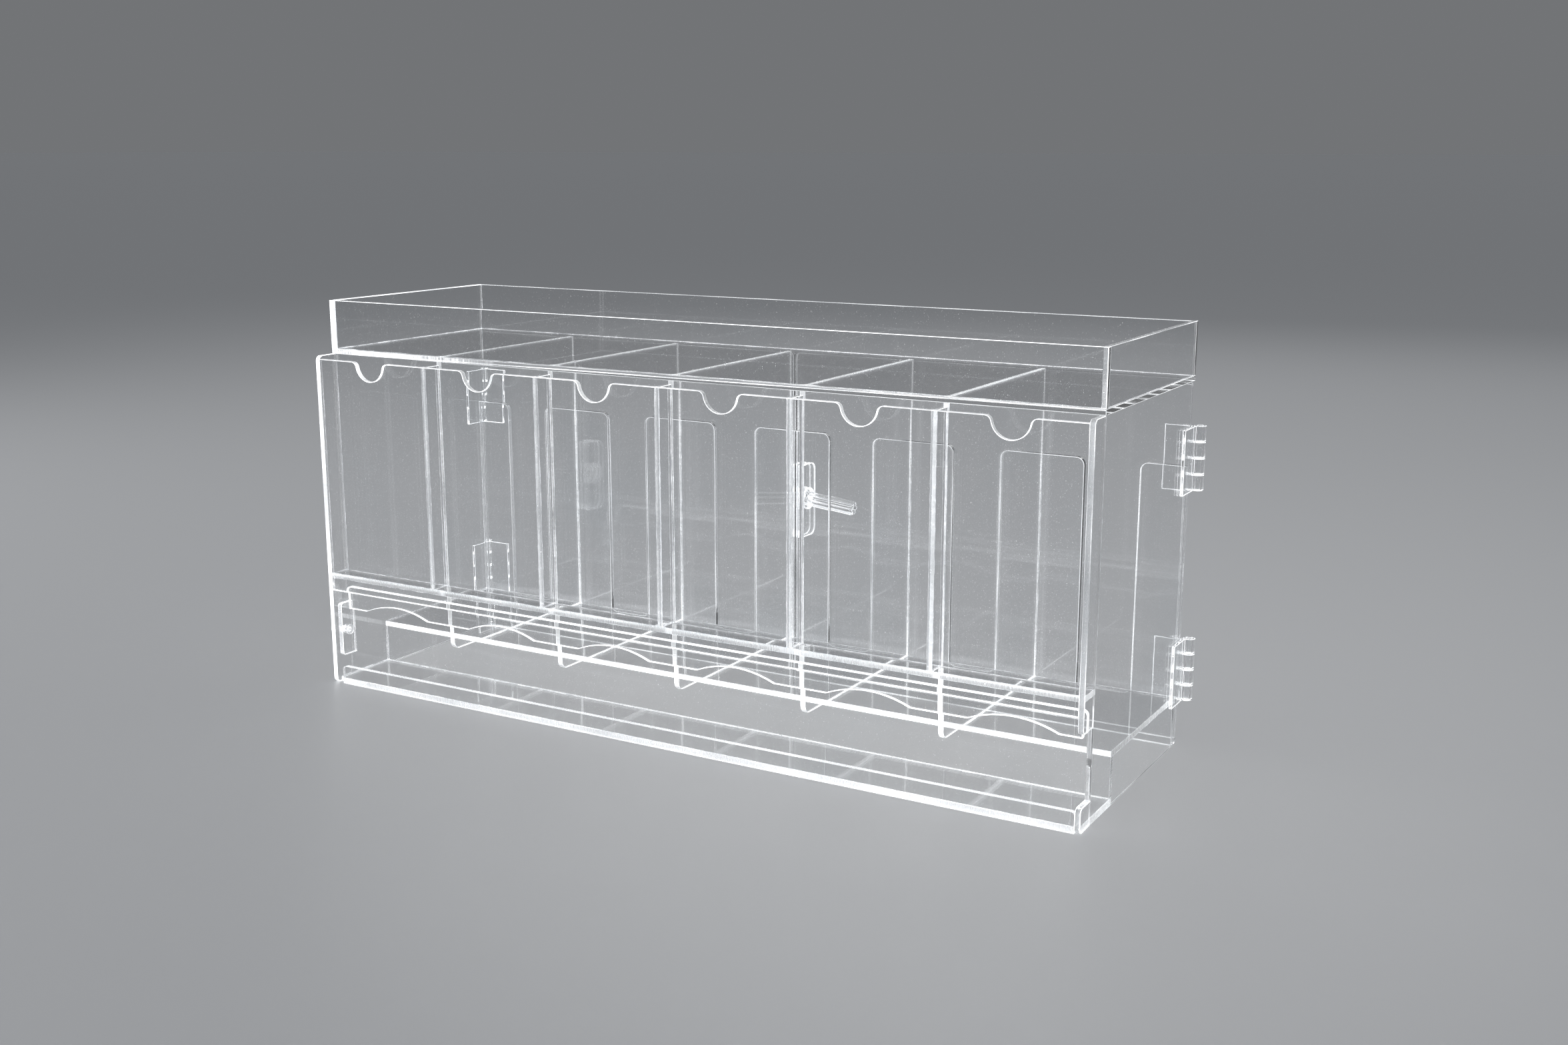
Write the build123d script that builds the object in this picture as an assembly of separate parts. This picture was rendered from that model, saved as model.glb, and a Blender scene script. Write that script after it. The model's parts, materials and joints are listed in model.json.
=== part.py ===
from build123d import *
import math
import os

os.makedirs("parts", exist_ok=True)

# Clear sheet-plastic dispenser case: six lanes side by side, an open tray on top,
# a label pocket and a low gate in front, two hinged doors behind.
# Drawing axes, mm: x across the case from its left face, y back from the tray's
# front, z up from the underside of the tray. put() moves a part to the row frame.

# ---------------------------------------------------------------- dimensions
SHEET = 3.0                 # every wall is cut from 3 mm sheet
WIDTH = 480.0               # outside, left to right
INNER_L = SHEET
INNER_R = WIDTH - SHEET
LANES = 6
LANE_WIDTH = (INNER_R - INNER_L - (LANES - 1) * SHEET) / LANES
PITCH = LANE_WIDTH + SHEET

TRAY_DEPTH = 138.0
TRAY_TOP = 31.6
CASE_REAR = 135.0           # rear edge of the side panels
GROUND = -200.0             # underside of the case
EDGE_R = 3.0                # rounded panel corners

FRONT = -13.5               # front face of the label pocket
POCKET_TOP = -1.8
POCKET_FLOOR_TOP = -131.5
PANEL_BOTTOM = -142.0
NOTCH_R = 10.0              # thumb notches in the front panel
NOTCH_DEPTH = 11.0
NOTCH_LIP_R = 3.5

REACH_TOP = -150.4          # gap in the right front strip
REACH_BOTTOM = -187.0

DIVIDER_FRONT = SHEET
FINGER_Y = 129.0            # front face of the rear finger panel
FLOOR_FRONT = 30.0
FLOOR_TOP = -171.8
LEDGE_TOP = GROUND + SHEET
LIP_LEFT = 7.5
LIP_TOP = -189.0

SLOT_WIDTH = 28.4           # rear finger panel, one slot behind each lane
SLOT_BOTTOM = -176.0
FINGER_TOP = -44.4
FINGER_R = 4.5

DOOR_Y = CASE_REAR
DOOR_OUT = 1.2              # door edge, in from the case's outer face
DOOR_GAP = 1.0              # between the two doors
DOOR_TOP = -1.5
DOOR_BOTTOM = -197.5

HINGE_X = 3.0               # hinge axis, outside the case's outer face
HINGE_Y = 141.2
HINGE_H = 35.0
HINGE_BOTTOMS = {"upper": -59.0, "lower": -176.0}
LEAF = 1.6
LEAF_CASE = 21.0            # leaf lengths, from the hinge axis
LEAF_DOOR = 20.0
BARREL_R = 3.25
HINGE_PIN_R = 1.5
RUNNING = 0.05              # radial clearance of a running fit
KNUCKLES = 4
KNUCKLE_GAP = 0.4
LEAF_CLEAR = 3.7            # a leaf keeps this far from the other leaf's knuckles

LUG_INSET = 0.5             # lock lug, in from the door's free edge
LUG_REACH = 16.5
LUG_TOP = -66.5
LUG_BOTTOM = -111.0
LUG_R = 5.0
LUG_HOLE_R = 6.3
LOCK_Y = DOOR_Y + SHEET + 8.5
LOCK_Z = -88.0
LOCK_TILT = 6.4             # the loose pin hangs down to the right, degrees
LOCK_LEFT = 240.4
LOCK_LENGTH = 34.2
LOBES = 6
LOBE_R = 1.5
LOBE_RING = 2.9
LOCK_CORE_R = 2.8

GATE_FRONT = -5.0
GATE_TOP = -140.5
GATE_BOTTOM = -155.0
GATE_RIGHT = 476.4
GATE_R = 3.0
ARCH_FIRST = 45.0
ARCH_PITCH = 79.1
ARCH_WIDTH = 48.0
ARCH_RISE = 5.0
EAR_LEFT = 4.0
EAR_FRONT = -11.3
EAR_DEPTH = 11.0
EAR_TOP = -150.4
EAR_BOTTOM = -183.0
EAR_R = 2.0
PIVOT_Y = -6.3
PIVOT_Z = -167.4
PIVOT_R = 1.5
COLLAR_R = 2.6
HEAD_R = 3.1
HEAD_T = 1.6
GATE_PLAY = 0.1             # end play of the ear between collar and head

# the row frame stands on the ground, centred on the whole object
ORIGIN = (WIDTH / 2, (FRONT + DOOR_Y + SHEET + LUG_REACH) / 2, GROUND)


# ---------------------------------------------------------------- helpers
def put(name, part):
    """Move a part from the drawing axes to the row frame and write its STEP file."""
    moved = Pos(-ORIGIN[0], -ORIGIN[1], -ORIGIN[2]) * part
    moved.label = name
    export_step(moved, f"parts/{name}.step")


def slab(x0, x1, y0, y1, z0, z1):
    """A box between two corners."""
    middle = Pos((x0 + x1) / 2, (y0 + y1) / 2, (z0 + z1) / 2)
    return middle * Box(x1 - x0, y1 - y0, z1 - z0)


def rounded(part, axis, radius, wanted):
    """Round the straight edges along axis whose middle point is wanted."""
    edges = [e for e in part.edges().filter_by(axis) if wanted(e.center())]
    return fillet(edges, radius)


def rod_x(x0, x1, y, z, radius):
    """A cylinder along x."""
    return Pos((x0 + x1) / 2, y, z) * Rot(0, 90, 0) * Cylinder(radius, x1 - x0)


def rod_z(x, y, z0, z1, radius):
    """A cylinder along z."""
    return Pos(x, y, (z0 + z1) / 2) * Cylinder(radius, z1 - z0)


def mirrored(part):
    """The same part on the other side of the case's middle plane."""
    return mirror(part, Plane.YZ.offset(WIDTH / 2))


def lane_middle(lane):
    return INNER_L + LANE_WIDTH / 2 + lane * PITCH


def divider_middle(k):
    return INNER_L + k * PITCH - SHEET / 2


# ---------------------------------------------------------------- top tray
put("tray_floor", slab(0, WIDTH, 0, TRAY_DEPTH, 0, SHEET))
put("tray_front_wall", slab(0, WIDTH, 0, SHEET, SHEET, TRAY_TOP))
put("tray_rear_wall", slab(0, WIDTH, TRAY_DEPTH - SHEET, TRAY_DEPTH, SHEET, TRAY_TOP))
tray_end = slab(0, SHEET, SHEET, TRAY_DEPTH - SHEET, SHEET, TRAY_TOP)
put("tray_left_wall", tray_end)
put("tray_right_wall", mirrored(tray_end))

# ---------------------------------------------------------------- side panels
side = slab(0, SHEET, 0, CASE_REAR, GROUND, 0)
side = rounded(side, Axis.X, EDGE_R, lambda c: c.Y > CASE_REAR - 1)
put("left_side_panel", side)
put("right_side_panel", mirrored(side))

# front strips carry the label pocket; the right one leaves a gap to reach in
strip = slab(0, SHEET, FRONT, 0, GROUND, 0)
strip = rounded(strip, Axis.X, EDGE_R, lambda c: c.Y < FRONT + 1)
strip -= rod_x(0, SHEET, PIVOT_Y, PIVOT_Z, PIVOT_R)
put("left_front_strip", strip)

upper_strip = slab(INNER_R, WIDTH, FRONT, 0, REACH_TOP, 0)
upper_strip = rounded(upper_strip, Axis.X, EDGE_R, lambda c: c.Y < FRONT + 1)
put("right_front_strip", upper_strip)

foot = slab(INNER_R, WIDTH, FRONT, 0, GROUND, REACH_BOTTOM)
foot = rounded(foot, Axis.X, EDGE_R, lambda c: c.Y < FRONT + 1)
put("right_front_foot", foot)

# ---------------------------------------------------------------- label pocket
# each notch is a round well whose walls run out into two rounded lips
notch_z = POCKET_TOP - NOTCH_DEPTH + NOTCH_R
lip_z = POCKET_TOP - NOTCH_LIP_R
lip_x = math.sqrt((NOTCH_R + NOTCH_LIP_R) ** 2 - (notch_z - lip_z) ** 2)
meeting_z = notch_z - (notch_z - lip_z) * NOTCH_R / (NOTCH_R + NOTCH_LIP_R)


def rod_y(x, z, radius):
    """A cylinder through the front panel."""
    return Pos(x, FRONT + SHEET / 2, z) * Rot(90, 0, 0) * Cylinder(radius, SHEET)


front_panel = slab(INNER_L, INNER_R, FRONT, FRONT + SHEET, PANEL_BOTTOM, POCKET_TOP)
for lane in range(LANES):
    x = lane_middle(lane)
    mouth = slab(x - lip_x, x + lip_x, FRONT, FRONT + SHEET, meeting_z, POCKET_TOP)
    mouth -= rod_y(x - lip_x, lip_z, NOTCH_LIP_R) + rod_y(x + lip_x, lip_z, NOTCH_LIP_R)
    front_panel -= mouth + rod_y(x, notch_z, NOTCH_R)
put("front_panel", front_panel)

put("inner_front_panel", slab(INNER_L, INNER_R, 0, SHEET, POCKET_FLOOR_TOP - SHEET, 0))
put("pocket_floor", slab(INNER_L, INNER_R, FRONT + SHEET, 0,
                         POCKET_FLOOR_TOP - SHEET, POCKET_FLOOR_TOP))
for k in range(1, LANES):
    x = divider_middle(k)
    fin = slab(x - SHEET / 2, x + SHEET / 2, FRONT + SHEET, 0, POCKET_FLOOR_TOP, POCKET_TOP)
    put(f"pocket_fin_{k}", fin)

# ---------------------------------------------------------------- lane dividers
for k in range(1, LANES):
    x = divider_middle(k)
    divider = slab(x - SHEET / 2, x + SHEET / 2, DIVIDER_FRONT, FINGER_Y, FLOOR_TOP, 0)
    divider = rounded(divider, Axis.X, 5.0, lambda c: c.Y < FLOOR_FRONT and c.Z < -100)
    put(f"divider_{k}", divider)

# ---------------------------------------------------------------- stepped floor
put("upper_floor", slab(INNER_L, INNER_R, FLOOR_FRONT, FINGER_Y, FLOOR_TOP - SHEET, FLOOR_TOP))
put("floor_riser", slab(INNER_L, INNER_R, FLOOR_FRONT, FLOOR_FRONT + SHEET,
                        LEDGE_TOP, FLOOR_TOP - SHEET))
put("ledge_plate", slab(INNER_L, INNER_R, FRONT + SHEET, FLOOR_FRONT + SHEET, GROUND, LEDGE_TOP))
lip = slab(LIP_LEFT, INNER_R, FRONT, FRONT + SHEET, GROUND, LIP_TOP)
lip = rounded(lip, Axis.Y, 2.0, lambda c: c.Z > LIP_TOP - 1)
put("ledge_lip", lip)

# ---------------------------------------------------------------- rear finger panel
finger_panel = slab(INNER_L, INNER_R, FINGER_Y, FINGER_Y + SHEET, GROUND, FINGER_TOP)
for lane in range(LANES):
    x = lane_middle(lane)
    half = SLOT_WIDTH / 2
    finger_panel -= slab(x - half, x + half, FINGER_Y, FINGER_Y + SHEET, SLOT_BOTTOM, FINGER_TOP)


def is_slot_corner(c):
    gap = min(abs(abs(c.X - lane_middle(lane)) - SLOT_WIDTH / 2) for lane in range(LANES))
    return gap < 0.2


finger_panel = rounded(finger_panel, Axis.Y, FINGER_R, is_slot_corner)
put("rear_finger_panel", finger_panel)

# ---------------------------------------------------------------- rear doors
door = slab(WIDTH / 2 + DOOR_GAP / 2, WIDTH - DOOR_OUT, DOOR_Y, DOOR_Y + SHEET,
            DOOR_BOTTOM, DOOR_TOP)
door = rounded(door, Axis.Y, EDGE_R, lambda c: True)
put("right_door", door)
put("left_door", mirrored(door))

# ---------------------------------------------------------------- door hinges
axis_x = WIDTH + HINGE_X
knuckle = (HINGE_H - (KNUCKLES - 1) * KNUCKLE_GAP) / KNUCKLES
step = knuckle + KNUCKLE_GAP


def hinge_leaf(bottom, plate, first, bore_r, clear):
    """One leaf: a plate, every second knuckle, and room for the other knuckles."""
    leaf = plate
    for i in range(KNUCKLES):
        z0 = bottom + i * step
        if i % 2 == first:
            leaf += rod_z(axis_x, HINGE_Y, z0, z0 + knuckle, BARREL_R)
    for i in range(KNUCKLES):
        z0 = bottom + i * step
        if i % 2 != first:
            z_low = z0 - KNUCKLE_GAP if i else bottom - 1
            z_high = z0 + knuckle + KNUCKLE_GAP if i < KNUCKLES - 1 else bottom + HINGE_H + 1
            leaf -= clear(z_low, z_high)
    return leaf - rod_z(axis_x, HINGE_Y, bottom - 1, bottom + HINGE_H + 1, bore_r)


for level, bottom in HINGE_BOTTOMS.items():
    top = bottom + HINGE_H
    case_plate = slab(WIDTH, WIDTH + LEAF, HINGE_Y - LEAF_CASE, HINGE_Y, bottom, top)
    door_plate = slab(axis_x - LEAF_DOOR, axis_x, DOOR_Y + SHEET, DOOR_Y + SHEET + LEAF,
                      bottom, top)
    case_leaf = hinge_leaf(
        bottom, case_plate, 1, HINGE_PIN_R,
        lambda a, b: slab(WIDTH - 1, axis_x + 5, HINGE_Y - LEAF_CLEAR, HINGE_Y + 5, a, b))
    door_leaf = hinge_leaf(
        bottom, door_plate, 0, HINGE_PIN_R + RUNNING,
        lambda a, b: slab(axis_x - LEAF_CLEAR, axis_x + 5, DOOR_Y + SHEET, HINGE_Y + 5, a, b))
    pin = rod_z(axis_x, HINGE_Y, bottom, top, HINGE_PIN_R)
    pieces = {"case_leaf": case_leaf, "door_leaf": door_leaf, "pin": pin}
    for kind, piece in pieces.items():
        put(f"right_{level}_hinge_{kind}", piece)
        put(f"left_{level}_hinge_{kind}", mirrored(piece))

# ---------------------------------------------------------------- lock lugs and pin
lug_x = WIDTH / 2 + DOOR_GAP / 2 + LUG_INSET
lug_blank = slab(lug_x, lug_x + SHEET, DOOR_Y + SHEET, DOOR_Y + SHEET + LUG_REACH,
                 LUG_BOTTOM, LUG_TOP)
lug_blank = rounded(lug_blank, Axis.X, LUG_R, lambda c: c.Y > DOOR_Y + SHEET + 1)
put("right_lock_lug", lug_blank - rod_x(lug_x - 1, lug_x + SHEET + 1, LOCK_Y, LOCK_Z, LUG_HOLE_R))
left_z = LOCK_Z + 0.5
left_lug = mirrored(lug_blank)
left_lug -= rod_x(WIDTH - lug_x - SHEET - 1, WIDTH - lug_x + 1, LOCK_Y, left_z, LUG_HOLE_R)
put("left_lock_lug", left_lug)

lock = Rot(0, 90, 0) * Cylinder(LOCK_CORE_R, LOCK_LENGTH - 2 * LOBE_R)
for i in range(LOBES):
    turn = 2 * math.pi * i / LOBES
    y = LOBE_RING * math.cos(turn)
    z = LOBE_RING * math.sin(turn)
    half = LOCK_LENGTH / 2 - LOBE_R
    lock += rod_x(-half, half, y, z, LOBE_R)
    lock += Pos(-half, y, z) * Sphere(LOBE_R)
    lock += Pos(half, y, z) * Sphere(LOBE_R)
tilt = math.radians(LOCK_TILT)
reach = LOCK_LENGTH / 2
lock_z = LOCK_Z + (lug_x + SHEET / 2 - LOCK_LEFT) * math.tan(tilt) - reach * math.sin(tilt)
lock = Pos(LOCK_LEFT + reach * math.cos(tilt), LOCK_Y, lock_z) * Rot(0, LOCK_TILT, 0) * lock
put("lock_pin", lock)

# ---------------------------------------------------------------- front gate
gate_back = GATE_FRONT + SHEET
gate_left = EAR_LEFT + SHEET
gate = slab(gate_left, GATE_RIGHT, GATE_FRONT, gate_back, GATE_BOTTOM, GATE_TOP)
gate = rounded(gate, Axis.Y, GATE_R, lambda c: c.Z > GATE_TOP - 1)
arch_r = ((ARCH_WIDTH / 2) ** 2 + ARCH_RISE ** 2) / (2 * ARCH_RISE)
for lane in range(LANES):
    x = ARCH_FIRST + lane * ARCH_PITCH
    arch_z = GATE_BOTTOM + ARCH_RISE - arch_r
    gate -= Pos(x, GATE_FRONT + SHEET / 2, arch_z) * Rot(90, 0, 0) * Cylinder(arch_r, SHEET)
put("gate_bar", gate)

ear = slab(EAR_LEFT, gate_left, EAR_FRONT, EAR_FRONT + EAR_DEPTH, EAR_BOTTOM, EAR_TOP)
ear = rounded(ear, Axis.X, EAR_R, lambda c: c.Y < EAR_FRONT + 1)
ear -= rod_x(EAR_LEFT - 1, gate_left + 1, PIVOT_Y, PIVOT_Z, PIVOT_R + RUNNING)
put("gate_ear", ear)

pivot = rod_x(0, gate_left + GATE_PLAY, PIVOT_Y, PIVOT_Z, PIVOT_R)
pivot += rod_x(SHEET, EAR_LEFT - GATE_PLAY, PIVOT_Y, PIVOT_Z, COLLAR_R)
pivot += rod_x(gate_left + GATE_PLAY, gate_left + GATE_PLAY + HEAD_T, PIVOT_Y, PIVOT_Z, HEAD_R)
put("gate_pivot_pin", pivot)
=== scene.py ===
# %% [markdown]
# A clear sheet-plastic dispenser case for small card packs: six lanes, an open
# tray on top, a label pocket and a low gate in front, and two doors behind.
# The engineering model is loaded as a fixed frame. Everything made here is its
# finish: polished sheets with softened corners, cut edges with a painted glow,
# cement in the glued seams, and moulded hinges and pins.

# %% Load the frame
import bmesh
import bpy
import itertools
import json
import math
import random
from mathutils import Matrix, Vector, noise

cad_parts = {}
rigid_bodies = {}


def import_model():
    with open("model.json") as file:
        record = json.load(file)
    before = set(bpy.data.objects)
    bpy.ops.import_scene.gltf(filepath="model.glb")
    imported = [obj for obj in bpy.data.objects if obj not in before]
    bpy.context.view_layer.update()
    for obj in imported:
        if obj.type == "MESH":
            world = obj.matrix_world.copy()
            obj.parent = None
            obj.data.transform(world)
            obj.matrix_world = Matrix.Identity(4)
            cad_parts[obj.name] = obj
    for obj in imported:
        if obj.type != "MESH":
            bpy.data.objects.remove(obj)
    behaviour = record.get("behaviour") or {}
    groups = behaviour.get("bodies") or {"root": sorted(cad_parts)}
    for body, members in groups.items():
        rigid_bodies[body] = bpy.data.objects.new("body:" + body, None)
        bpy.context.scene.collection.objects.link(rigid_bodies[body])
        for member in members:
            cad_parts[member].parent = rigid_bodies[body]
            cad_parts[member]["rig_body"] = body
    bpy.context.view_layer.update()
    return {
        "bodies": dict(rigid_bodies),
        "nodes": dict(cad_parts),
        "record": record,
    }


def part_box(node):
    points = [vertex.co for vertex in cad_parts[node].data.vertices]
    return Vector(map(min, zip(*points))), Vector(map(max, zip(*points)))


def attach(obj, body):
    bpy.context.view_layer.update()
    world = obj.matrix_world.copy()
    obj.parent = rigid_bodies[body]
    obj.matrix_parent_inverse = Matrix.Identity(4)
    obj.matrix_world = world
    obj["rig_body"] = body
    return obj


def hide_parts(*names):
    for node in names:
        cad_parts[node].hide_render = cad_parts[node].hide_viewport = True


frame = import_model()
nodes = frame["nodes"]

# %% [markdown]
# The camera stands to the right of the case and a little above it, close enough
# that the near end looks much taller than the far end. A lens of about 39 mm on
# a 36 mm wide film gives that view. Its place is measured from the middle of the
# ground under the object, which is the origin.

# %% Camera
CAMERA_PLACE = (0.4990, -0.81525, 0.3212)
CAMERA_TURN = 29.95
CAMERA_TILT = 12.46
LENS = 39.28
FILM_WIDTH = 36.0

camera = bpy.data.objects.new("camera", bpy.data.cameras.new("camera"))
bpy.context.scene.collection.objects.link(camera)
camera.data.lens = LENS
camera.data.sensor_width = FILM_WIDTH
camera.data.clip_start = 0.01
camera.location = CAMERA_PLACE
camera.rotation_euler = (math.radians(90 - CAMERA_TILT), 0.0, math.radians(CAMERA_TURN))
bpy.context.scene.camera = camera
print("camera at", [round(c, 3) for c in camera.location])

# %% [markdown]
# Clear plastic shows only what is around it. The room is a light tent: dim near
# the horizon, so that the broad faces mirror almost nothing, and brighter high
# up, so that cut edges and corners catch it. The floor is pale and softly lit.

# %% Room
HORIZON_LIGHT = 0.182
CEILING_LIGHT = 0.50
DIM_UP_TO = 15
BRIGHT_FROM = 60
ROOM_COLOUR = (0.93, 0.96, 1.0, 1)

world = bpy.data.worlds.new("room")
bpy.context.scene.world = world
world.use_nodes = True
sky = world.node_tree
way = sky.nodes.new("ShaderNodeTexCoord")
split = sky.nodes.new("ShaderNodeSeparateXYZ")
rise = sky.nodes.new("ShaderNodeMapRange")
rise.interpolation_type = "SMOOTHSTEP"
rise.inputs["From Min"].default_value = math.sin(math.radians(DIM_UP_TO))
rise.inputs["From Max"].default_value = math.sin(math.radians(BRIGHT_FROM))
rise.inputs["To Min"].default_value = HORIZON_LIGHT
rise.inputs["To Max"].default_value = CEILING_LIGHT
sky.links.new(way.outputs["Generated"], split.inputs[0])
sky.links.new(split.outputs["Z"], rise.inputs["Value"])
sky.links.new(rise.outputs["Result"], sky.nodes["Background"].inputs["Strength"])
sky.nodes["Background"].inputs["Color"].default_value = ROOM_COLOUR
bpy.context.scene.view_settings.view_transform = "Standard"
print("room light:", HORIZON_LIGHT, "low down,", CEILING_LIGHT, "high up")

# %% [markdown]
# The floor could be a small backdrop with a curved rear edge. A very wide flat
# plane is simpler, and its far edge fades into the room on its own. It is matt
# and pale, with a faint cloudy tone so that it does not look like paint.

# %% Pale floor
FLOOR_REACH = 60.0
FLOOR_TONE = (0.42, 0.425, 0.435)
DARKEST_CLOUD = 0.96


def pale_floor_material():
    """Matt paper-like floor with a faint uneven tone."""
    material = bpy.data.materials.new("pale floor")
    material.use_nodes = True
    tree = material.node_tree
    cloud = tree.nodes.new("ShaderNodeTexNoise")
    cloud.inputs["Scale"].default_value = 3.0
    tone = tree.nodes.new("ShaderNodeValToRGB")
    tone.color_ramp.elements[0].color = (*[c * DARKEST_CLOUD for c in FLOOR_TONE], 1)
    tone.color_ramp.elements[1].color = (*FLOOR_TONE, 1)
    tree.links.new(cloud.outputs["Fac"], tone.inputs["Fac"])
    tree.links.new(tone.outputs["Color"], tree.nodes["Principled BSDF"].inputs["Base Color"])
    tree.nodes["Principled BSDF"].inputs["Roughness"].default_value = 0.45
    return material


bpy.ops.mesh.primitive_plane_add(size=2 * FLOOR_REACH)
floor = bpy.context.object
floor.name = "floor"
floor.data.materials.append(pale_floor_material())
print("floor:", 2 * FLOOR_REACH, "m wide")


# %% [markdown]
# Four large soft lamps stand for a studio. The one on the left is the strongest,
# so the left ends of the sheets glow most, helped by a brighter painted glow on
# their edges. The one behind gives the edges their rim of light, and none of them
# is seen by the camera.

# %% Soft lamps
AIM = Vector((0, 0, 0.1))


def soft_box(name, place, width, height, watts):
    """A large rectangular lamp that faces the middle of the case."""
    lamp = bpy.data.objects.new(name, bpy.data.lights.new(name, "AREA"))
    bpy.context.scene.collection.objects.link(lamp)
    lamp.data.shape = "RECTANGLE"
    lamp.data.size = width
    lamp.data.size_y = height
    lamp.data.energy = watts
    lamp.location = place
    lamp.rotation_euler = (AIM - Vector(place)).to_track_quat("-Z", "Y").to_euler()
    return lamp


soft_box("lamp_top", (0.1, 0.1, 1.6), 1.4, 0.9, 7)
soft_box("lamp_left", (-1.6, -0.3, 0.9), 0.5, 1.4, 9)
soft_box("lamp_right", (1.7, 0.7, 0.8), 0.3, 1.2, 4)
soft_box("lamp_back", (-0.4, 1.8, 1.1), 1.8, 0.4, 6)

# %% [markdown]
# Light has to pass a dozen sheets one behind the other, and each sheet bends it
# twice. The number of allowed bounces is raised so that hardly any ray ends black,
# and the brightest single samples are clamped so that they leave no white dots.

# %% Bounces
cycles = bpy.context.scene.cycles
cycles.max_bounces = 40
cycles.transmission_bounces = 40
cycles.glossy_bounces = 12
cycles.transparent_max_bounces = 64
cycles.sample_clamp_indirect = 4.0
print("bounces allowed:", cycles.max_bounces)


# %% [markdown]
# Effects that several finishes share are node groups, built once and placed in
# each material with its own values. Two helpers save repeating: one makes an
# empty group with named sockets, the other adds noise in the part's own space.

# %% Node group helper
def new_group(name, inputs, outputs):
    """An empty shader node group with named sockets."""
    group = bpy.data.node_groups.new(name, "ShaderNodeTree")
    for socket, value in inputs:
        kind = "NodeSocketFloat" if isinstance(value, float) else "NodeSocketVector"
        item = group.interface.new_socket(socket, in_out="INPUT", socket_type=kind)
        item.default_value = value
    for socket in outputs:
        group.interface.new_socket(socket, in_out="OUTPUT", socket_type="NodeSocketFloat")
    entry = group.nodes.new("NodeGroupInput")
    leave = group.nodes.new("NodeGroupOutput")
    return group, entry, leave


def noise_value(tree, scale, detail, low, high, along=None):
    """Noise in object space, stretched so that low..high becomes 0..1."""
    place = tree.nodes.new("ShaderNodeTexCoord").outputs["Object"]
    if along is not None:
        flatten = tree.nodes.new("ShaderNodeVectorMath")
        flatten.operation = "MULTIPLY"
        tree.links.new(place, flatten.inputs[0])
        tree.links.new(along, flatten.inputs[1])
        place = flatten.outputs[0]
    cloud = tree.nodes.new("ShaderNodeTexNoise")
    cloud.inputs["Scale"].default_value = scale
    cloud.inputs["Detail"].default_value = detail
    spread = tree.nodes.new("ShaderNodeMapRange")
    spread.inputs["From Min"].default_value = low
    spread.inputs["From Max"].default_value = high
    tree.links.new(place, cloud.inputs["Vector"])
    tree.links.new(cloud.outputs["Fac"], spread.inputs["Value"])
    return spread.outputs["Result"]


print("helpers ready:", new_group.__name__, "and", noise_value.__name__)


# %% [markdown]
# The first shared effect is a painted glow along a cut edge: bright stretches
# and dim ones, with fine lines where the saw or the laser passed, which also dim
# it. The lines run straight through the sheet, so the pattern must change along
# the edge and not across it. The noise is flattened in the direction of the
# thickness for that.

# %% Edge light group
STRETCH_SCALE = 22.0
SAW_LINE_SCALE = 900.0


def painted_edge_glow_group():
    """Painted glow along a cut edge, and the height of its saw lines."""
    group, entry, leave = new_group(
        "edge light", [("Along", (1, 1, 0)), ("Dimmest", 0.4), ("Line Strength", 0.5)],
        ["Light", "Lines"])
    along = entry.outputs["Along"]
    stretches = noise_value(group, STRETCH_SCALE, detail=1.0, low=0.35, high=0.65, along=along)
    lines = noise_value(group, SAW_LINE_SCALE, detail=2.0, low=0.35, high=0.65, along=along)
    fade = group.nodes.new("ShaderNodeMapRange")
    group.links.new(stretches, fade.inputs["Value"])
    group.links.new(entry.outputs["Dimmest"], fade.inputs["To Min"])
    fall = group.nodes.new("ShaderNodeMath")
    fall.operation = "MULTIPLY"
    group.links.new(lines, fall.inputs[0])
    group.links.new(entry.outputs["Line Strength"], fall.inputs[1])
    rest = group.nodes.new("ShaderNodeMath")
    rest.operation = "SUBTRACT"
    rest.inputs[0].default_value = 1.0
    group.links.new(fall.outputs[0], rest.inputs[1])
    both = group.nodes.new("ShaderNodeMath")
    both.operation = "MULTIPLY"
    group.links.new(fade.outputs["Result"], both.inputs[0])
    group.links.new(rest.outputs[0], both.inputs[1])
    group.links.new(both.outputs[0], leave.inputs["Light"])
    group.links.new(lines, leave.inputs["Lines"])
    return group


PAINTED_EDGE_GLOW = painted_edge_glow_group()
print("group:", PAINTED_EDGE_GLOW.name, "nodes:", len(PAINTED_EDGE_GLOW.nodes))


# %% [markdown]
# The second shared effect is handling: soft smudges that dull the gloss a little,
# and specks of dust that get a painted glint.

# %% Handling group
SMUDGE_SCALE = 14.0
DUST_SCALE = 2200.0


def smudge_and_dust_glint_group():
    """Smudges, and dust specks for a painted glint, both 0 on clean plastic."""
    group, entry, leave = new_group("handling", [("Amount", 1.0)], ["Smudge", "Dust"])
    smudge = noise_value(group, SMUDGE_SCALE, detail=4.0, low=0.48, high=0.75)
    dust = noise_value(group, DUST_SCALE, detail=0.0, low=0.80, high=0.86)
    for name, source in (("Smudge", smudge), ("Dust", dust)):
        share = group.nodes.new("ShaderNodeMath")
        share.operation = "MULTIPLY"
        share.use_clamp = True
        group.links.new(source, share.inputs[0])
        group.links.new(entry.outputs["Amount"], share.inputs[1])
        group.links.new(share.outputs[0], leave.inputs[name])
    return group


SMUDGES_AND_DUST_GLINTS = smudge_and_dust_glint_group()
print("group:", SMUDGES_AND_DUST_GLINTS.name, "nodes:", len(SMUDGES_AND_DUST_GLINTS.nodes))


# %% [markdown]
# Every clear part starts from the same glass: index 1.49, no colour of its own.
# A shadow ray goes straight through it, because a clear sheet hardly dims a soft
# lamp and the true bent shadow would need far more samples.

# %% Clear plastic base
ACRYLIC_INDEX = 1.49


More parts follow.
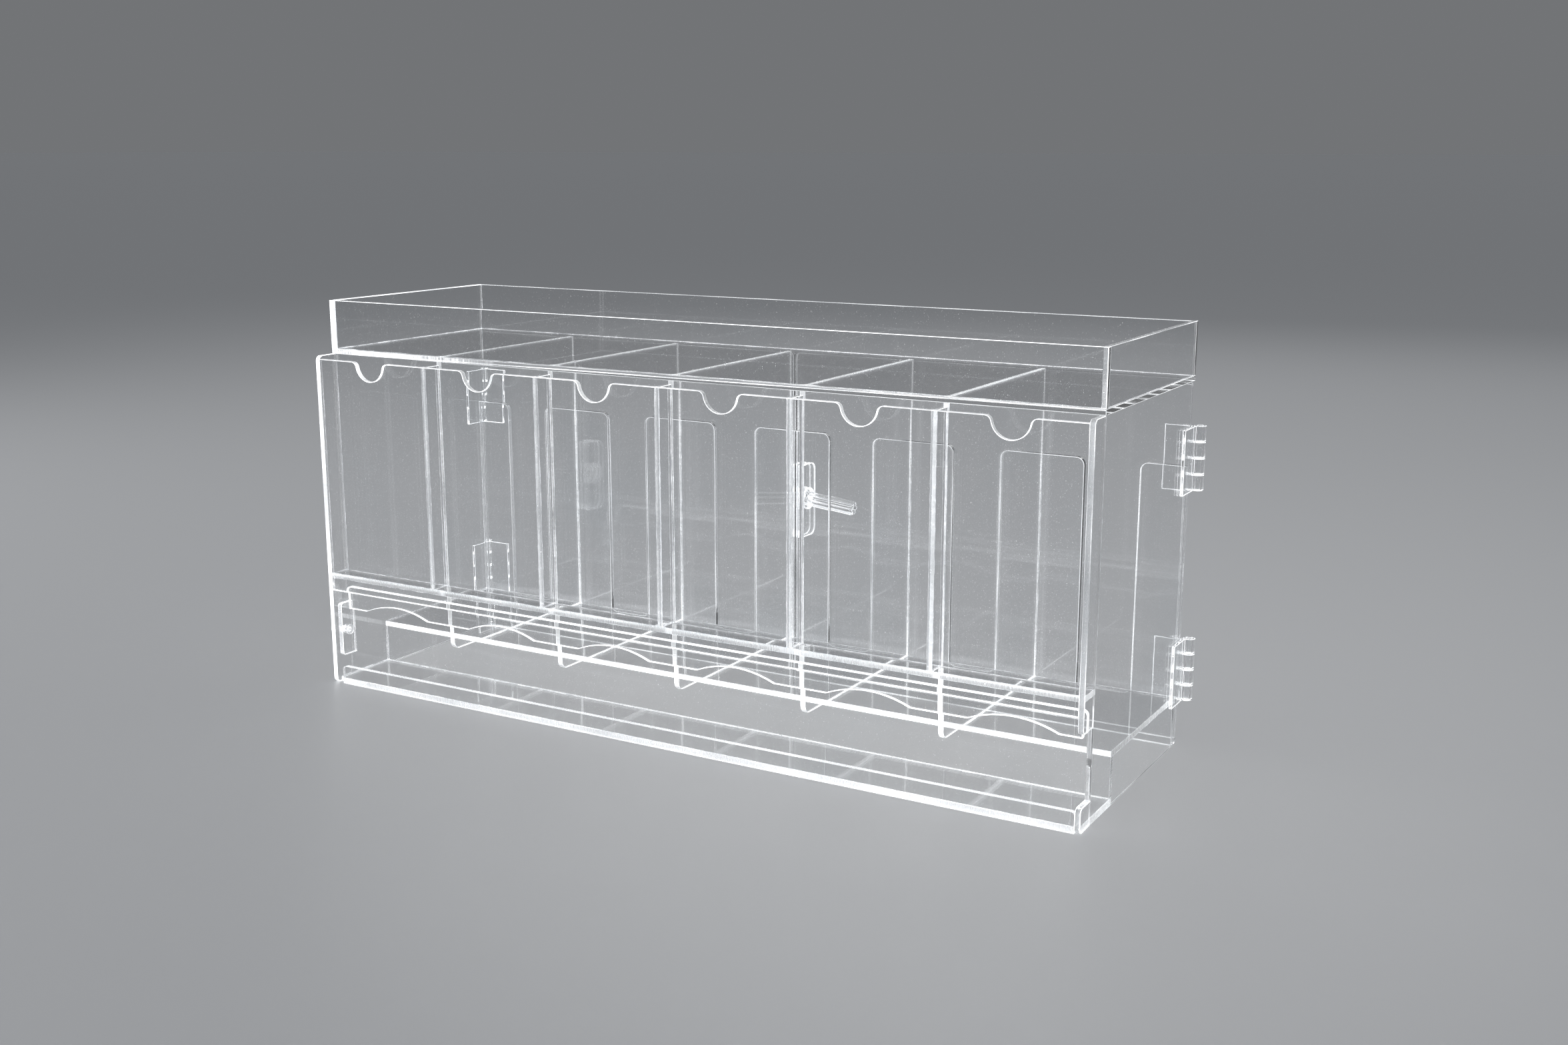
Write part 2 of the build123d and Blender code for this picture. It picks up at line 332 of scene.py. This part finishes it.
def clear_plastic(name, tint=(0.995, 0.998, 1.0), painted_glow=0.0, shade=0.97):
    """A clear material, its node tree and its shader."""
    material = bpy.data.materials.new(name)
    material.use_nodes = True
    tree = material.node_tree
    shader = tree.nodes["Principled BSDF"]
    shader.inputs["Base Color"].default_value = (*tint, 1)
    shader.inputs["IOR"].default_value = ACRYLIC_INDEX
    shader.inputs["Transmission Weight"].default_value = 1.0
    # the emission is a painted glow: no clear part is a lamp
    shader.inputs["Emission Strength"].default_value = painted_glow
    lamp_ray = tree.nodes.new("ShaderNodeLightPath")
    through = tree.nodes.new("ShaderNodeBsdfTransparent")
    through.inputs["Color"].default_value = (shade, shade, shade, 1)
    mix = tree.nodes.new("ShaderNodeMixShader")
    tree.links.new(lamp_ray.outputs["Is Shadow Ray"], mix.inputs[0])
    tree.links.new(shader.outputs[0], mix.inputs[1])
    tree.links.new(through.outputs[0], mix.inputs[2])
    tree.links.new(mix.outputs[0], tree.nodes["Material Output"].inputs["Surface"])
    return material, tree, shader


def place_group(tree, group, **values):
    """Put a shared group into a material and set its inputs."""
    node = tree.nodes.new("ShaderNodeGroup")
    node.node_tree = group
    for name, value in values.items():
        node.inputs[name.replace("_", " ")].default_value = value
    return node


def scaled(tree, source, low, high):
    """Map a 0..1 value to low..high."""
    spread = tree.nodes.new("ShaderNodeMapRange")
    spread.inputs["To Min"].default_value = low
    spread.inputs["To Max"].default_value = high
    tree.links.new(source, spread.inputs["Value"])
    return spread.outputs["Result"]


def shade_of(tree, source, dark, light):
    """Mix two colours by a 0..1 value."""
    mix = tree.nodes.new("ShaderNodeMix")
    mix.data_type = "RGBA"
    mix.inputs["A"].default_value = (*dark, 1)
    mix.inputs["B"].default_value = (*light, 1)
    tree.links.new(source, mix.inputs["Factor"])
    return mix.outputs["Result"]


print("index of the plastic:", ACRYLIC_INDEX)


# %% [markdown]
# The polished face of a sheet is almost perfect. Smudges raise its roughness by a
# hair, dust adds tiny painted glints, bright dots of emission, and a very long
# shallow wave in the surface makes reflections swim, as they do on cast sheet.

# %% Polished face
PAINTED_DUST_GLINT = 0.6
DUST_AMOUNT = 0.8
SMUDGE_ROUGHNESS = 0.02
CLEAN_TINT = (0.998, 0.999, 1.0)
SMUDGED_TINT = (0.97, 0.98, 0.985)
WAVE_SCALE = 7.0
WAVE_HEIGHT = 0.0004


def polished_face(name, wave):
    """A smooth face; wave says how much its reflections swim."""
    material, tree, shader = clear_plastic(name, painted_glow=PAINTED_DUST_GLINT)
    marks = place_group(tree, SMUDGES_AND_DUST_GLINTS, Amount=DUST_AMOUNT)
    tree.links.new(scaled(tree, marks.outputs["Smudge"], 0.0, SMUDGE_ROUGHNESS),
                   shader.inputs["Roughness"])
    # painted glints: the dust specks glow white through the emission
    tree.links.new(shade_of(tree, marks.outputs["Dust"], (0, 0, 0), (1, 1, 1)),
                   shader.inputs["Emission Color"])
    tree.links.new(shade_of(tree, marks.outputs["Smudge"], CLEAN_TINT, SMUDGED_TINT),
                   shader.inputs["Base Color"])
    bump = tree.nodes.new("ShaderNodeBump")
    bump.inputs["Strength"].default_value = wave
    bump.inputs["Distance"].default_value = WAVE_HEIGHT
    tree.links.new(noise_value(tree, WAVE_SCALE, detail=1.0, low=0.2, high=0.8),
                   bump.inputs["Height"])
    tree.links.new(bump.outputs["Normal"], shader.inputs["Normal"])
    return material


SHEET_FACE = polished_face("sheet face, cast and polished", 0.10)
MOULDED_FACE = polished_face("moulded face", 0.5)
print("faces:", SHEET_FACE.name + ";", MOULDED_FACE.name)


# %% [markdown]
# A cut edge gets a painted glow, an emission that stands in for the light trapped
# inside its sheet and let out at the edge. Edges that were flame polished stay
# glassy with a dim painted glow, sanded ones are rough with a grey painted glow,
# and edges left from the saw are frosted and painted bright. Under cement an edge
# shows only as a grey band of faint painted glow. The narrow corner beside an edge
# gets the brightest painted highlight, painted brighter still on the parts that
# face the lamps.

# %% Cut edge
ALONG = ((0, 1, 1), (1, 0, 1), (1, 1, 0))
SAW_LINE_DEPTH = 0.00015
EDGE_TINT = (0.985, 0.993, 1.0)
DIM_PAINTED_GLOW = (0.10, 0.11, 0.12)
BRIGHT_PAINTED_GLOW = (0.96, 0.98, 1.0)
SMOOTHEST_SHARE = 0.6


def cut_edge(name, axis, painted_glow, dimmest, lines, rough):
    """A cut edge of a sheet whose thickness runs along axis 0, 1 or 2."""
    material, tree, shader = clear_plastic(f"{name} {'xyz'[axis]}", EDGE_TINT, painted_glow)
    light = place_group(tree, PAINTED_EDGE_GLOW, Along=ALONG[axis], Dimmest=dimmest, Line_Strength=lines)
    # the emission colour is the painted glow, brighter along the bright stretches
    tree.links.new(shade_of(tree, light.outputs["Light"], DIM_PAINTED_GLOW, BRIGHT_PAINTED_GLOW),
                   shader.inputs["Emission Color"])
    tree.links.new(scaled(tree, light.outputs["Lines"], rough * SMOOTHEST_SHARE, rough),
                   shader.inputs["Roughness"])
    bump = tree.nodes.new("ShaderNodeBump")
    bump.inputs["Strength"].default_value = lines
    bump.inputs["Distance"].default_value = SAW_LINE_DEPTH
    tree.links.new(light.outputs["Lines"], bump.inputs["Height"])
    tree.links.new(bump.outputs["Normal"], shader.inputs["Normal"])
    return material


print("directions that the lines of an edge can run through:", len(ALONG))


# %% [markdown]
# The parts were not all finished alike, so there is a list of finishes. Each one
# is the same material with its own painted glow, evenness of that glow, saw lines
# and roughness, made for the three directions that a sheet's thickness can have.
# The finishes towards the lamps are copies with a brighter painted glow.

# %% Edges and corners
def edge_set(name, painted_glow, dimmest, lines, rough):
    """The same edge finish for sheets of each thickness direction."""
    return [cut_edge(name, axis, painted_glow, dimmest, lines, rough) for axis in range(3)]


# name, painted glow, dimmest stretch of the painted glow, strength of the saw lines, roughness
FLAME_EDGE = edge_set("flame polished edge", 0.06, 0.30, 0.12, 0.04)
SANDED_EDGE = edge_set("sanded edge", 0.32, 0.45, 0.3, 0.35)
SAWN_EDGE = edge_set("sawn frosted edge", 0.85, 0.45, 0.5, 0.45)
PAINTED_LIT_EDGE = edge_set("sawn edge towards the lamps", 1.5, 0.55, 0.3, 0.45)
GLUED_EDGE = edge_set("edge under cement", 0.10, 0.50, 0.15, 0.25)
DIVIDER_TOP_PAINTED_GLOW = edge_set("divider edge cemented face up", 2.4, 0.60, 0.15, 0.30)
CORNER = edge_set("corner line", 1.2, 0.18, 0.3, 0.20)
PAINTED_LIT_CORNER = edge_set("corner line towards the lamps", 2.2, 0.35, 0.3, 0.20)

# the same with the direction that the lines run through
MOULDED_CORNER = cut_edge("moulded corner line", 2, 1.3, 0.30, 0.2, 0.15)
PAINTED_LIT_MOULDED_CORNER = cut_edge("moulded corner line towards the lamps", 2, 2.2, 0.40, 0.2, 0.15)
PIN_GROOVE = cut_edge("lock pin groove", 0, 1.3, 0.40, 0.2, 0.15)
SMALL_CORNER = cut_edge("small pin corner line", 0, 0.25, 0.50, 0.2, 0.15)
FROSTED_END = cut_edge("frosted pin end", 2, 0.04, 0.70, 0.2, 0.55)

print("edge and corner finishes:",
      len([m for m in bpy.data.materials if "edge" in m.name or "corner" in m.name]))

# %% [markdown]
# One edge is not the same all along. The front edge of the tray floor was left
# frosted at its left end, over most of the first lane, and is glassy after that.
# A mask that falls from 1 to 0 along the length of the sheet mixes the two states.
# It could be limited to the front edge, but the rear edge is hardly seen, so the
# whole rim of the sheet shares it. The painted glow and the roughness both follow
# the mask, so the frosted stretch is matt and painted bright.

# %% Part frosted edge of the tray floor
FROST_SHORT_OF_DIVIDER = 0.020
FROST_FADE = 0.004
PAINTED_FROST_GLOW = 1.2
GLASSY_PAINTED_GLOW = (0.02, 0.02, 0.02)
GLASSY_ROUGHNESS = 0.04
FROSTED_ROUGHNESS = 0.45


def part_frosted_edge(name, axis, frosted_up_to, painted_glow):
    """A glassy edge whose left end, up to a given place, was left frosted by the saw and is painted
    bright.
    """
    material, tree, shader = clear_plastic(name, EDGE_TINT, painted_glow)
    light = place_group(tree, PAINTED_EDGE_GLOW, Along=ALONG[axis], Dimmest=0.3, Line_Strength=0.9)
    place = tree.nodes.new("ShaderNodeSeparateXYZ")
    tree.links.new(tree.nodes.new("ShaderNodeTexCoord").outputs["Object"], place.inputs[0])
    frosted = tree.nodes.new("ShaderNodeMapRange")
    frosted.inputs["From Min"].default_value = frosted_up_to
    frosted.inputs["From Max"].default_value = frosted_up_to - FROST_FADE
    tree.links.new(place.outputs["X"], frosted.inputs["Value"])
    both = tree.nodes.new("ShaderNodeMath")
    both.operation = "MULTIPLY"
    tree.links.new(light.outputs["Light"], both.inputs[0])
    tree.links.new(frosted.outputs["Result"], both.inputs[1])
    # the painted glow follows the frosted mask
    tree.links.new(shade_of(tree, both.outputs[0], GLASSY_PAINTED_GLOW, BRIGHT_PAINTED_GLOW),
                   shader.inputs["Emission Color"])
    tree.links.new(scaled(tree, both.outputs[0], GLASSY_ROUGHNESS, FROSTED_ROUGHNESS),
                   shader.inputs["Roughness"])
    return material


frost_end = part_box("divider_1")[0][0] - FROST_SHORT_OF_DIVIDER
TRAY_FLOOR_EDGE = part_frosted_edge("tray floor edge, frosted over the first lane", 2,
                                    frost_end, PAINTED_FROST_GLOW)
print("tray floor edge is frosted up to x =", round(frost_end, 4))


# %% [markdown]
# The sheets are joined with solvent cement. Where two parts touch is worked out
# from their boxes: the glued patch is the flat overlap of the two boxes. A part
# whose cut edge is glued down has no free corner there, so it gets no chamfer.
# Glued edges that face front or up are told apart from the others, so that they can
# get a painted glow, as if the lamps still lit them through the sheet that covers them.

# %% Find the glued patches
TOUCH = 0.0001
SMALLEST_PATCH = 0.001


def is_pin(node):
    """Whether a part is one of the pins."""
    return "pin" in node.split("_")


def is_moulded(node):
    """Whether a part is moulded and not cut from sheet."""
    return "hinge" in node or is_pin(node)


def thin_axis(node):
    """The index of a sheet's thickness direction, or of a pin's length."""
    low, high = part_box(node)
    spans = [high[i] - low[i] for i in range(3)]
    return spans.index(max(spans) if is_pin(node) else min(spans))


def glued_patch(a, b):
    """The flat patch where two parts meet: parts, normal axis, low, high, side of a. Or None."""
    low_a, high_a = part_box(a)
    low_b, high_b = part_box(b)
    low = Vector([max(low_a[i], low_b[i]) for i in range(3)])
    high = Vector([min(high_a[i], high_b[i]) for i in range(3)])
    thin = [i for i in range(3) if abs(high[i] - low[i]) < TOUCH]
    if len(thin) != 1:
        return None
    if any(high[i] - low[i] < SMALLEST_PATCH for i in range(3) if i != thin[0]):
        return None
    axis = thin[0]
    side = 1 if low_a[axis] + high_a[axis] > low_b[axis] + high_b[axis] else -1
    return a, b, axis, low, high, side


pairs = [(a, b) for a, b in itertools.combinations(sorted(nodes), 2)
         if nodes[a]["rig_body"] == nodes[b]["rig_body"]]
patches = [patch for patch in (glued_patch(a, b) for a, b in pairs) if patch]
print("glued patches:", len(patches))


# %% [markdown]
# Every face of a part gets one of six finishes, by where it looks and whether it
# lies in a glued patch. They are numbered here, in the order in which they are
# later given to a sheet. The lock pin is a rod with six lobes, and the faces near
# its middle line, deep in the grooves between them, get the corner finish, a
# painted highlight.

# %% Sort the faces and keep the pieces
FACE, EDGE, LINE, GLUED, GLUED_FRONT, GLUED_TOP = range(6)
GROOVE_REACH = 0.0031
ROD_END = 0.0155


def in_patch(verts, low, high):
    """Whether all the corners of a face or an edge lie in a patch."""
    return all(low[i] - TOUCH < v.co[i] < high[i] + TOUCH for v in verts for i in range(3))


def paint_groove_highlights(work, middle):
    """Give the faces deep between the lobes of the lock pin the finish of its corners, a painted
    highlight.
    """
    slide = next(joint for joint in frame["record"]["behaviour"]["joints"]
                 if joint["name"] == "lock_pin_slide")
    axis = Vector(slide["axis"]).normalized()
    for face in work.faces:
        arm = face.calc_center_median() - middle
        along = arm.dot(axis)
        if abs(along) < ROD_END and (arm - axis * along).length < GROOVE_REACH:
            face.material_index = LINE


def keep(work, name, body):
    """Turn a bmesh into an object that rides on a body."""
    mesh = bpy.data.meshes.new(name)
    work.to_mesh(mesh)
    work.free()
    piece = bpy.data.objects.new(name, mesh)
    bpy.context.scene.collection.objects.link(piece)
    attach(piece, body)
    return piece


print("finishes of a sheet:", GLUED_TOP + 1)


# %% [markdown]
# Each sheet is a copy of its engineering part with its many flat triangles merged
# and every free corner given a narrow chamfer. The chamfer is real geometry:
# without it a refracting edge has no line to catch the light. The copy is pulled
# in by a few hundredths of a millimetre, the thickness of the cement film, so
# that two glued sheets do not share one surface.

# %% Softened copies
CEMENT_FILM = 0.00004
SHEET_CHAMFER = 0.00028
MOULDED_CHAMFER = 0.00018
WELD = 1e-7
FLAT_ANGLE = math.radians(0.5)
CORNER_ANGLE = math.radians(30)
SQUARELY = 0.9


def soft_copy(node, chamfer):
    """A copy with merged faces and chamfered free corners, its faces sorted into six finishes."""
    work = bmesh.new()
    work.from_mesh(nodes[node].data)
    bmesh.ops.remove_doubles(work, verts=work.verts, dist=WELD)
    bmesh.ops.dissolve_limit(work, angle_limit=FLAT_ANGLE, verts=work.verts, edges=work.edges)
    axis = thin_axis(node)
    glued = [(low, high) for a, b, normal, low, high, side in patches
             if node in (a, b) and normal != axis]
    for face in work.faces:
        along = abs(face.normal[axis]) > SQUARELY
        plain = along or is_moulded(node)
        face.material_index = FACE if plain and not (along and is_pin(node)) else EDGE
        if not plain and any(in_patch(face.verts, low, high) for low, high in glued):
            # glued faces that look front or up are kept apart for a painted glow
            front, top = face.normal.y < -SQUARELY, face.normal.z > SQUARELY
            face.material_index = GLUED_FRONT if front else GLUED_TOP if top else GLUED
    sharp = [e for e in work.edges
             if len(e.link_faces) == 2 and e.calc_face_angle(0) > CORNER_ANGLE
             and not any(in_patch(e.verts, low, high) for low, high in glued)]
    low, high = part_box(node)
    for vert in work.verts:
        for i in range(3):
            middle = (low[i] + high[i]) / 2
            half = (high[i] - low[i]) / 2
            vert.co[i] = middle + (vert.co[i] - middle) * (half - CEMENT_FILM) / half
    # the chamfer faces take the corner line finish, a painted highlight on real geometry
    bmesh.ops.bevel(work, geom=sharp, offset=chamfer, segments=2, profile=0.5,
                    affect="EDGES", clamp_overlap=True, material=LINE)
    if node == "lock_pin":
        paint_groove_highlights(work, (Vector(low) + Vector(high)) / 2)
    for face in work.faces:
        face.smooth = face.material_index == LINE
    return keep(work, node + "_soft", nodes[node]["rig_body"])


print("chamfers:", SHEET_CHAMFER * 1000, "mm on sheets,", MOULDED_CHAMFER * 1000, "mm on mouldings")


# %% [markdown]
# Which finish a part gets follows from how its edges were left. The dividers, the
# lock lugs, the front panel and the gate bar still show the saw, and so do three
# parts whose left ends face the strongest lamp; those three get a brighter painted
# glow. The ledge, the pocket floor and the gate's ear were sanded, and the rest is
# flame polished. Parts at the left end and in front also get corner lines with a
# brighter painted highlight. A few edges get a painted glow through the cement that
# covers them.

# %% Make every sheet and every moulded part
def dress(piece, finishes):
    """Give a piece its finishes."""
    for finish in finishes:
        piece.data.materials.append(finish)


DIVIDERS = {node for node in nodes if node.startswith("divider")}
LUGS = {"left_lock_lug", "right_lock_lug"}
PAINTED_LIT_END = {"left_front_strip", "upper_floor", "tray_left_wall"}
SAWN = DIVIDERS | LUGS | {"front_panel", "gate_bar"}
SANDED = {"pocket_floor", "ledge_lip", "ledge_plate", "gate_ear"}
PAINTED_LIT_PARTS = PAINTED_LIT_END | LUGS | {"left_side_panel", "front_panel", "gate_bar", "gate_ear",
                        "tray_front_wall", "right_front_foot"}
PAINTED_GLOW_THROUGH_CEMENT = {"tray_left_wall": PAINTED_LIT_EDGE, "pocket_floor": SANDED_EDGE,
                        **{node: SANDED_EDGE for node in DIVIDERS}}
PAINTED_GLOW_AT_GLUED_ENDS = {"upper_floor": SANDED_EDGE, "floor_riser": SANDED_EDGE,
                     "ledge_lip": SAWN_EDGE, "ledge_plate": SAWN_EDGE}


def edge_finish(node):
    """How the cut edges of one part were left."""
    if node == "tray_floor":
        return [TRAY_FLOOR_EDGE] * 3
    for group, finish in ((PAINTED_LIT_END, PAINTED_LIT_EDGE), (SAWN, SAWN_EDGE), (SANDED, SANDED_EDGE)):
        if node in group:
            return finish
    return FLAME_EDGE


def corner_finish(node):
    """The corner line of a moulded part."""
    if node == "lock_pin":
        return PIN_GROOVE
    if node == "gate_pivot_pin":
        return SMALL_CORNER
    # moulded parts on the left get a brighter painted highlight
    return PAINTED_LIT_MOULDED_CORNER if node.startswith("left") else MOULDED_CORNER


for node in sorted(nodes):
    axis = thin_axis(node)
    if is_moulded(node):
        piece = soft_copy(node, MOULDED_CHAMFER)
        dress(piece, (MOULDED_FACE, FROSTED_END, corner_finish(node)))
    else:
        piece = soft_copy(node, SHEET_CHAMFER)
        # painted highlight on the corner lines, painted glow on glued edges by the way they face
        line = PAINTED_LIT_CORNER if node in PAINTED_LIT_PARTS else CORNER
        front = PAINTED_GLOW_THROUGH_CEMENT.get(node, GLUED_EDGE)
        top = DIVIDER_TOP_PAINTED_GLOW if node in DIVIDERS else GLUED_EDGE
        end = PAINTED_GLOW_AT_GLUED_ENDS.get(node, GLUED_EDGE)
        edges = (edge_finish(node), line, end, front, top)
        dress(piece, (SHEET_FACE, *[finish[axis] for finish in edges]))
    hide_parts(node)

# %% [markdown]
# Solvent cement leaves a thin wavy fillet in each inside corner. A patch has an
# inside corner on each side where only one of the two parts goes on.

# %% Find the inside corners
FILLET = 0.0003
SHORTEST_SEAM = 0.005


def reach(node, axis, sign, edge):
    """How far a part goes on past an edge."""
    low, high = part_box(node)
    return (high[axis] - edge) if sign > 0 else (edge - low[axis])


def inside_corners(patch):
    """Each inside corner of a patch: its start, its run axis, and the two open directions."""
    a, b, normal, low, high, side = patch
    for across in range(3):
        if across == normal:
            continue
        run = 3 - normal - across
        if high[run] - low[run] < SHORTEST_SEAM:
            continue
        for sign, edge in ((1, high[across]), (-1, low[across])):
            goes_on = [reach(node, across, sign, edge) > FILLET for node in (a, b)]
            if goes_on[0] == goes_on[1]:
                continue
            open_side = side if goes_on[1] else -side
            start = Vector(low)
            start[across] = edge
            start[normal] = (low[normal] + high[normal]) / 2
            yield start, run, high[run] - low[run], (across, sign), (normal, open_side)


print("inside corners to fill:", sum(len(list(inside_corners(patch))) for patch in patches))


# %% [markdown]
# The fillet is a small triangle with a hollow face, swept along the inside corner.
# A plain sweep would look like a moulding, so its size wanders with slow noise
# and it looks poured.

# %% Cement fillets
HOLLOW = 0.32
FILLET_STEP = 0.0025
FILLET_MEAN = 0.65
FILLET_WANDER = 0.45
WANDER_SCALE = 90
SEED_STEP = 7.3


def add_fillet(work, start, run, length, first, second, seed):
    """Sweep a small hollow-faced triangle along one inside corner."""
    steps = max(2, round(length / FILLET_STEP))
    rings = []
    for step in range(steps + 1):
        along = length * step / steps
        wander = noise.noise(Vector((seed * SEED_STEP, along * WANDER_SCALE, 0.5)))
        size = FILLET * (FILLET_MEAN + FILLET_WANDER * wander)
        ring = []
        for f, g in ((0, 0), (1, 0), (HOLLOW, HOLLOW), (0, 1)):
            point = start.copy()
            point[run] += along
            point[first[0]] += first[1] * size * f
            point[second[0]] += second[1] * size * g
            ring.append(work.verts.new(point))
        rings.append(ring)
    for near, far in zip(rings, rings[1:]):
        for i in range(4):
            work.faces.new((near[i], near[(i + 1) % 4], far[(i + 1) % 4], far[i]))
    work.faces.new(rings[0])
    work.faces.new(rings[-1])


print("fillets wander about", round(FILLET * FILLET_MEAN * 1000, 3), "mm")


# %% [markdown]
# Cement also traps flat bubbles between the two parts. They lie in the film, in
# loose clusters, and each one is a bright silvery speck by a painted glow. A seam
# that was glued lying down holds more of them than one that was glued standing up.

# %% Trapped bubbles
BUBBLE_AREA = 0.000028
UPRIGHT_SHARE = 0.3
BUBBLE_SIZES = (0.00010, 0.00040)
BUBBLE_STRETCH = (0.7, 1.3)
BUBBLE_DEPTH = 0.00003
BUBBLE_SIDES = 8
MOST_BUBBLES = 80
CLUSTER_SCALE = 40
CLUSTER_LEVEL = -0.1


def add_bubble(work, middle, normal, radius, stretch):
    """A flat lens that lies in the plane of the joint."""
    first, second = [i for i in range(3) if i != normal]
    rim = []
    for k in range(BUBBLE_SIDES):
        turn = 2 * math.pi * k / BUBBLE_SIDES
        point = Vector(middle)
        point[first] += radius * stretch * math.cos(turn)
        point[second] += radius * math.sin(turn)
        rim.append(work.verts.new(point))
    for sign in (-1, 1):
        top = Vector(middle)
        top[normal] += sign * BUBBLE_DEPTH
        peak = work.verts.new(top)
        for k in range(BUBBLE_SIDES):
            work.faces.new((rim[k], rim[(k + 1) % BUBBLE_SIDES], peak))


def add_bubbles(work, patch, dice):
    """Scatter bubbles over a patch where the clusters are."""
    a, b, normal, low, high, side = patch
    first, second = [i for i in range(3) if i != normal]
    area = (high[first] - low[first]) * (high[second] - low[second])
    margin = BUBBLE_SIZES[1]
    share = 1.0 if normal == 2 else UPRIGHT_SHARE
    for k in range(min(MOST_BUBBLES, round(area / BUBBLE_AREA * share))):
        middle = (low + high) / 2
        for i in (first, second):
            middle[i] = dice.uniform(low[i] + margin, high[i] - margin)
        size = dice.uniform(*BUBBLE_SIZES) * dice.random()
        stretch = dice.uniform(*BUBBLE_STRETCH)
        if noise.noise(middle * CLUSTER_SCALE) > CLUSTER_LEVEL:
            add_bubble(work, middle, normal, max(size, BUBBLE_SIZES[0]), stretch)


print("bubble radius from", BUBBLE_SIZES[0] * 1000, "to", BUBBLE_SIZES[1] * 1000, "mm")


# %% [markdown]
# All fillets of one body are one piece and all its bubbles another, because they
# move together when a door or the gate swings. Cured cement is clear and a little
# cloudy, with a faint painted glow. The air in the film gets a stronger painted
# glow, a painted reflection of the lamps.

# %% Cement pieces, one set for each body
CLOUD_SCALE = 160.0
CEMENT_TINT = (0.97, 0.985, 1.0)
DIM_CEMENT_GLOW = (0.08, 0.09, 0.10)
BRIGHT_CEMENT_GLOW = (0.95, 0.97, 1.0)
CLEAREST_SHARE = 0.3
SEED = 17


def cement(name, painted_glow, rough):
    """Cured cement: clear, a little cloudy, with a painted glow that is brighter where the cloud
    noise is high.
    """
    material, tree, shader = clear_plastic(name, CEMENT_TINT, painted_glow)
    cloud = noise_value(tree, CLOUD_SCALE, detail=2.0, low=0.35, high=0.7)
    # the emission colour is a painted glow that follows the cloud noise
    tree.links.new(shade_of(tree, cloud, DIM_CEMENT_GLOW, BRIGHT_CEMENT_GLOW),
                   shader.inputs["Emission Color"])
    tree.links.new(scaled(tree, cloud, rough * CLEAREST_SHARE, rough), shader.inputs["Roughness"])
    return material


CEMENT = cement("cured cement", 0.25, 0.35)
TRAPPED_AIR_PAINTED_SHEEN = cement("trapped air", 1.3, 0.20)

for body in sorted(frame["bodies"]):
    own = [patch for patch in patches if nodes[patch[0]]["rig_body"] == body]
    if not own:
        continue
    dice = random.Random(SEED)
    fillets = bmesh.new()
    bubbles = bmesh.new()
    for seed, patch in enumerate(own):
        for corner in inside_corners(patch):
            add_fillet(fillets, *corner, seed)
        add_bubbles(bubbles, patch, dice)
    for work, name, finish in ((fillets, "cement_fillets_", CEMENT),
                               (bubbles, "cement_bubbles_", TRAPPED_AIR_PAINTED_SHEEN)):
        count = len(work.faces)
        print(name + body, "faces:", count)
        if count:
            bmesh.ops.recalc_face_normals(work, faces=work.faces)
            dress(keep(work, name + body, body), (finish,))
